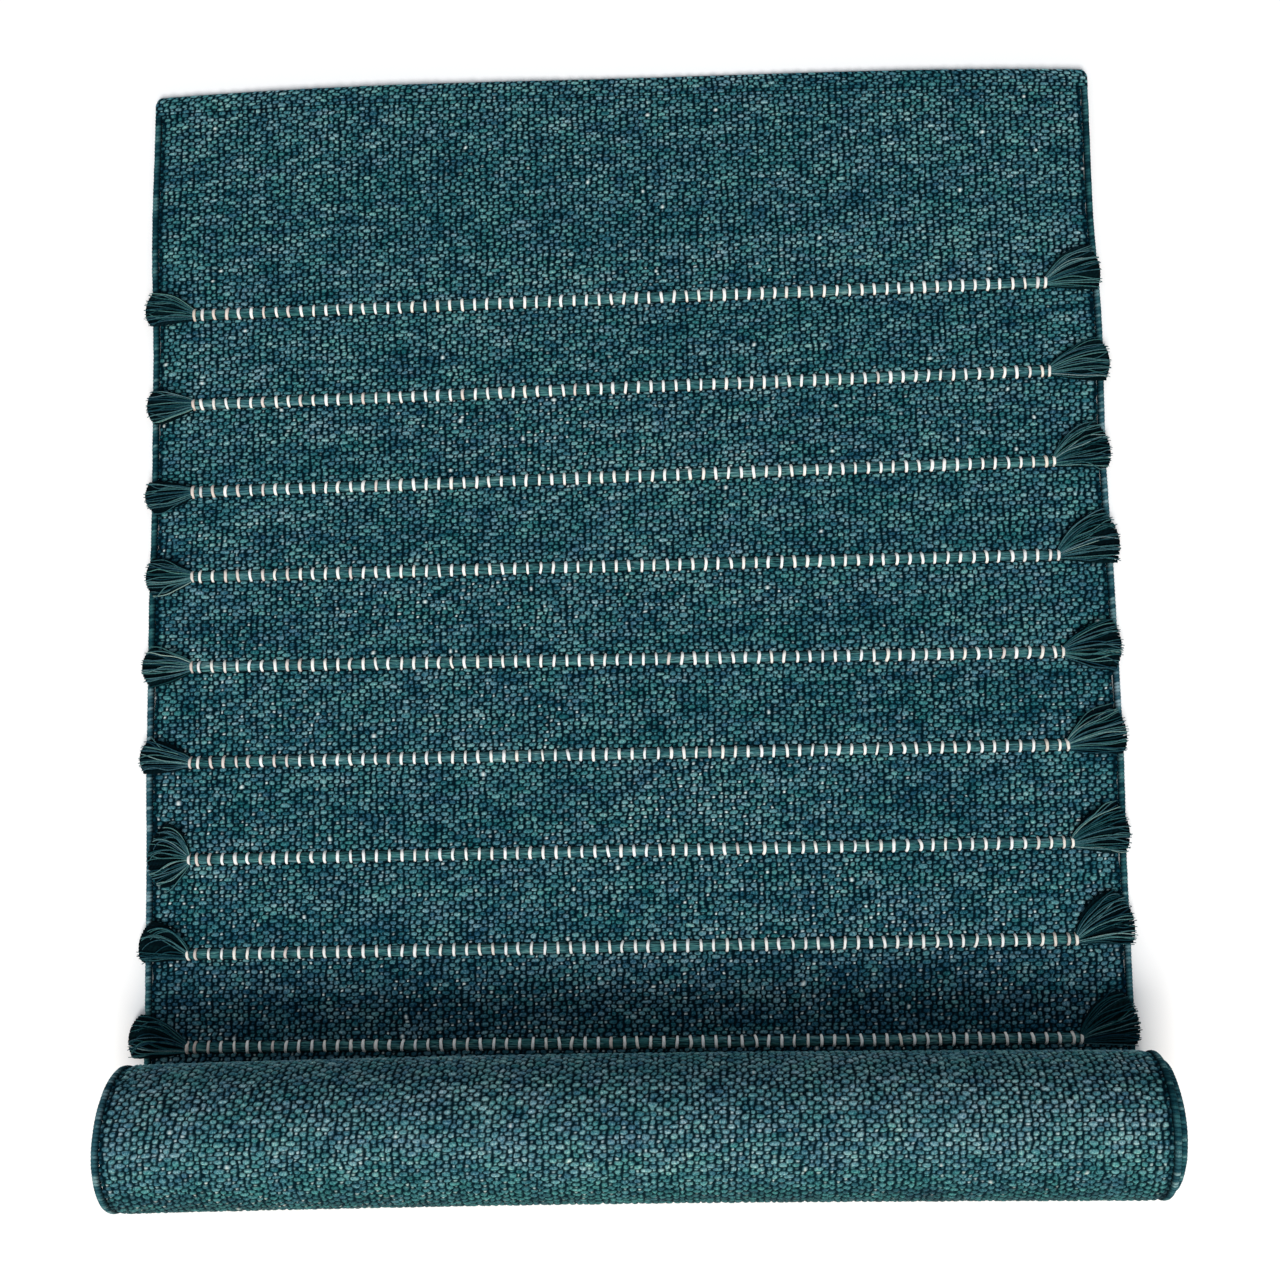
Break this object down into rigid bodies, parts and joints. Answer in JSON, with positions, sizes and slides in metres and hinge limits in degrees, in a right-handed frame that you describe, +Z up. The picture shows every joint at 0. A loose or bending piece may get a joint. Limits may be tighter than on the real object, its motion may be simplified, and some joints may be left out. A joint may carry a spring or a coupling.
{
  "type": "runner rug",
  "caption": "Chunky flat-woven teal cotton runner, laid face up with its near end rolled; inlaid stripes held by white warp floats, with fanned edge tassels.",
  "frame": {"origin": "on the floor, under the middle of the whole object's box", "axes": "+X across the rug, +Y from the roll to the far end, +Z up off the floor"},
  "size_m": [0.6158, 0.6946, 0.085],
  "materials": {
    "teal_cotton_ground": "coarse plain weave of teal and navy melange cotton, matt",
    "teal_cotton_selvedge": "corded teal cotton edge, matt",
    "teal_cotton_bundle": "loose smooth teal cotton yarns laid side by side, matt",
    "teal_cotton_tassel": "cut ends of twisted teal cotton yarn, matt",
    "natural_cotton_warp": "undyed natural cotton warp yarn, matt"
  },
  "bodies": {
    "root": {"cloth_flat": "teal_cotton_ground", "cloth_roll": "teal_cotton_ground", "end_band_far": "teal_cotton_ground", "end_band_inner": "teal_cotton_ground", "selvedge_left_flat": "teal_cotton_selvedge", "selvedge_left_roll": "teal_cotton_selvedge", "selvedge_right_flat": "teal_cotton_selvedge", "selvedge_right_roll": "teal_cotton_selvedge", "inlay_bundle_1": "teal_cotton_bundle", "warp_floats_1": "natural_cotton_warp", "tassel_left_1": "teal_cotton_tassel", "tassel_right_1": "teal_cotton_tassel", "inlay_bundle_2": "teal_cotton_bundle", "warp_floats_2": "natural_cotton_warp", "tassel_left_2": "teal_cotton_tassel", "tassel_right_2": "teal_cotton_tassel", "inlay_bundle_3": "teal_cotton_bundle", "warp_floats_3": "natural_cotton_warp", "tassel_left_3": "teal_cotton_tassel", "tassel_right_3": "teal_cotton_tassel", "inlay_bundle_4": "teal_cotton_bundle", "warp_floats_4": "natural_cotton_warp", "tassel_left_4": "teal_cotton_tassel", "tassel_right_4": "teal_cotton_tassel", "inlay_bundle_5": "teal_cotton_bundle", "warp_floats_5": "natural_cotton_warp", "tassel_left_5": "teal_cotton_tassel", "tassel_right_5": "teal_cotton_tassel", "inlay_bundle_6": "teal_cotton_bundle", "warp_floats_6": "natural_cotton_warp", "tassel_left_6": "teal_cotton_tassel", "tassel_right_6": "teal_cotton_tassel", "inlay_bundle_7": "teal_cotton_bundle", "warp_floats_7": "natural_cotton_warp", "tassel_left_7": "teal_cotton_tassel", "tassel_right_7": "teal_cotton_tassel", "inlay_bundle_8": "teal_cotton_bundle", "warp_floats_8": "natural_cotton_warp", "tassel_left_8": "teal_cotton_tassel", "tassel_right_8": "teal_cotton_tassel", "inlay_bundle_9": "teal_cotton_bundle", "warp_floats_9": "natural_cotton_warp", "tassel_left_9": "teal_cotton_tassel", "tassel_right_9": "teal_cotton_tassel"}
  },
  "joints": []
}
